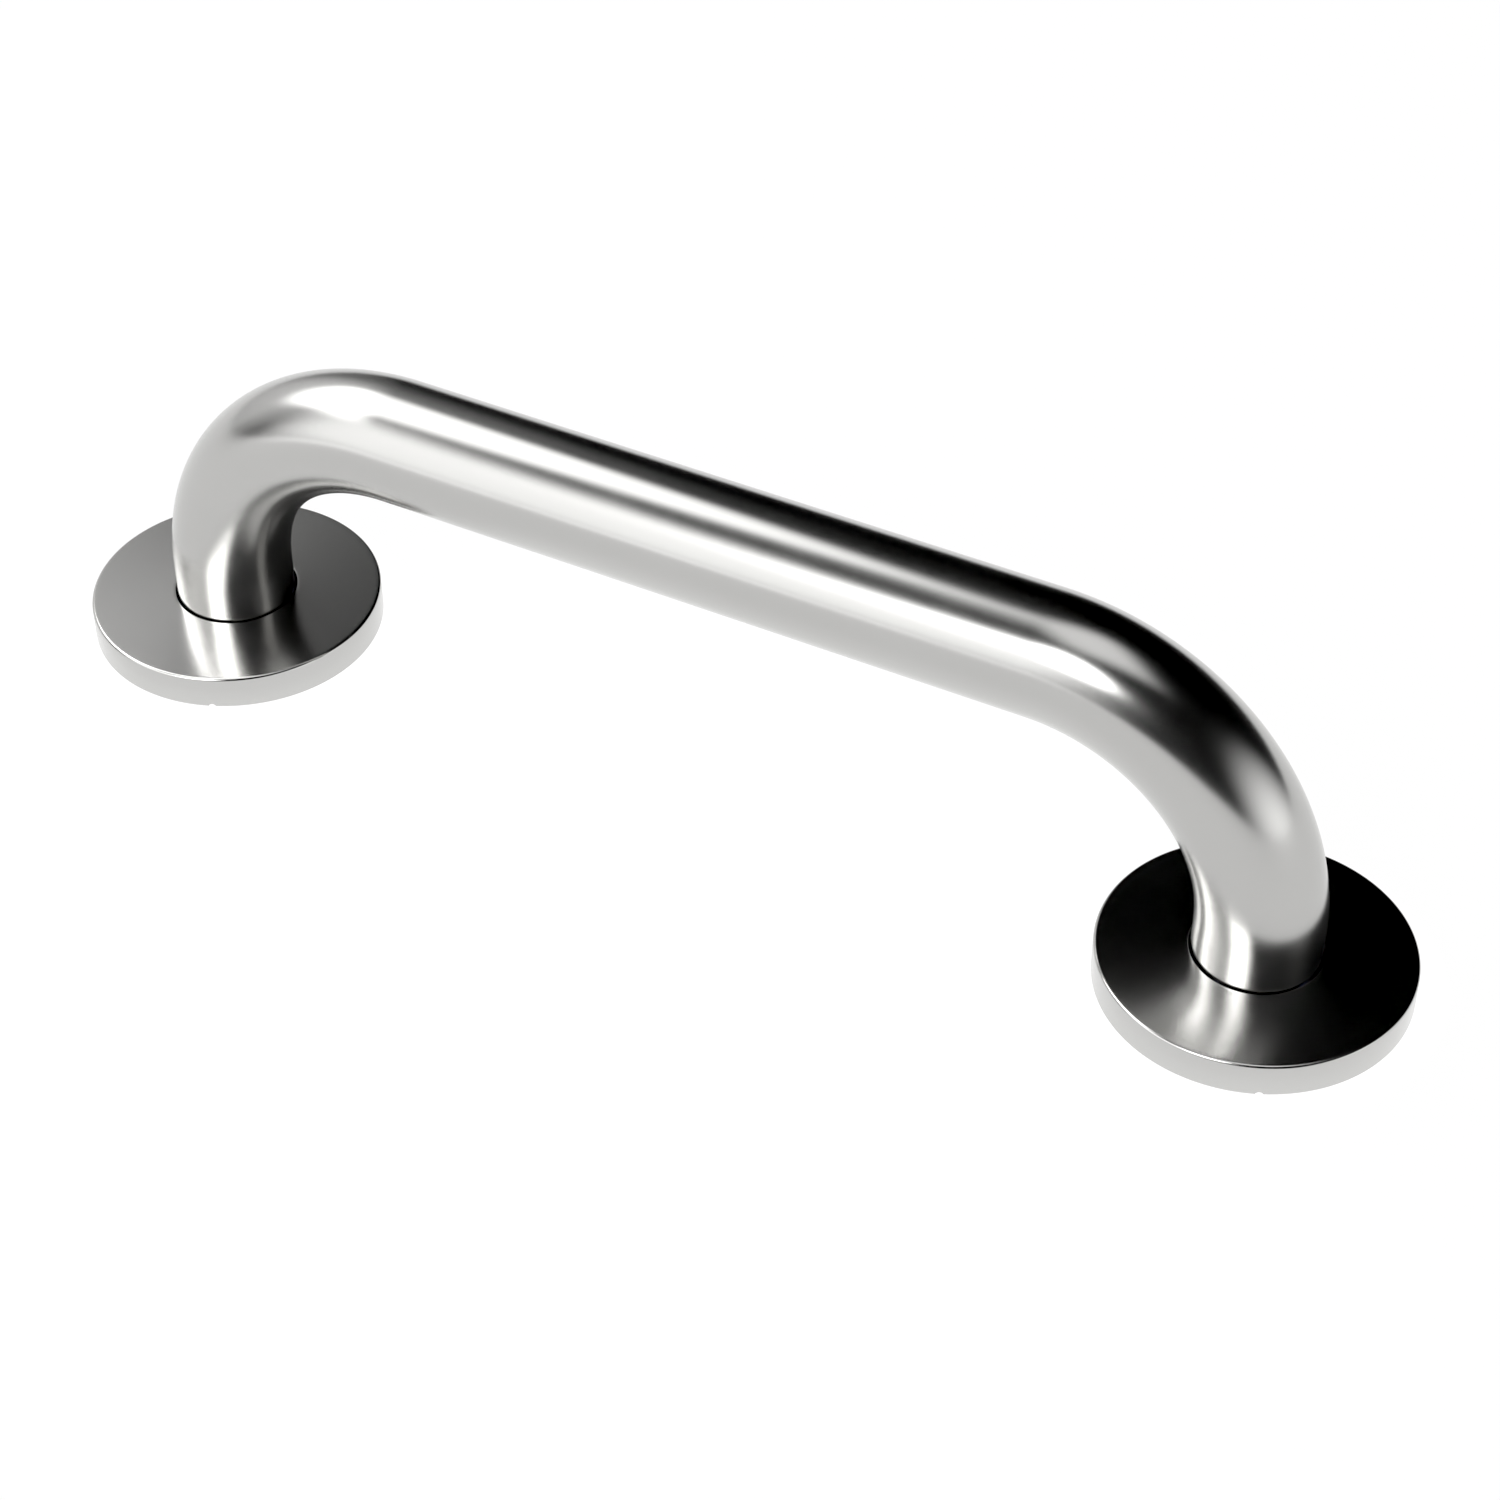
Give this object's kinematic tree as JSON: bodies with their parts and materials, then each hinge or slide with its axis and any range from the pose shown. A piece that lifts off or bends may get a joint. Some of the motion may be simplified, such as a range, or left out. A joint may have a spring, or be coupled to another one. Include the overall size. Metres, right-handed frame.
{
  "type": "grab rail",
  "caption": "Satin stainless steel grab rail: round tube bent square at both ends into legs, with low round covers hiding screwed wall flanges.",
  "frame": {"origin": "on the wall plane, midway between the centres of the two feet", "axes": "+X along the bar from the left foot to the right foot, +Y across the bar, +Z straight out from the wall"},
  "size_m": [0.379, 0.079, 0.095],
  "materials": {
    "tube_steel": "satin polished",
    "cover_steel": "satin, fine turned grain",
    "plate_steel": "machined",
    "weld_steel": "as welded, lightly tinted",
    "gasket_rubber": "matt sheet",
    "ring_rubber": "smooth moulded"
  },
  "bodies": {
    "rail": {"rail_tube": "tube_steel", "left_flange_plate": "plate_steel", "left_weld_bead": "weld_steel", "left_wall_gasket": "gasket_rubber", "right_flange_plate": "plate_steel", "right_weld_bead": "weld_steel", "right_wall_gasket": "gasket_rubber"},
    "left_ring": {"left_grip_ring": "ring_rubber"},
    "left_cover": {"left_cover_rose": "cover_steel"},
    "right_ring": {"right_grip_ring": "ring_rubber"},
    "right_cover": {"right_cover_rose": "cover_steel"}
  },
  "joints": [
    {"name": "left_cover_spin", "type": "hinge", "parent": "rail", "child": "left_ring", "pos_m": [-0.15, 0, 0.003], "axis": [0, 0, 1], "continuous": true},
    {"name": "left_cover_slide", "type": "slide", "parent": "left_ring", "child": "left_cover", "axis": [0, 0, 1], "range_m": [0, 0.012]},
    {"name": "right_cover_spin", "type": "hinge", "parent": "rail", "child": "right_ring", "pos_m": [0.15, 0, 0.003], "axis": [0, 0, 1], "continuous": true},
    {"name": "right_cover_slide", "type": "slide", "parent": "right_ring", "child": "right_cover", "axis": [0, 0, 1], "range_m": [0, 0.012]}
  ]
}
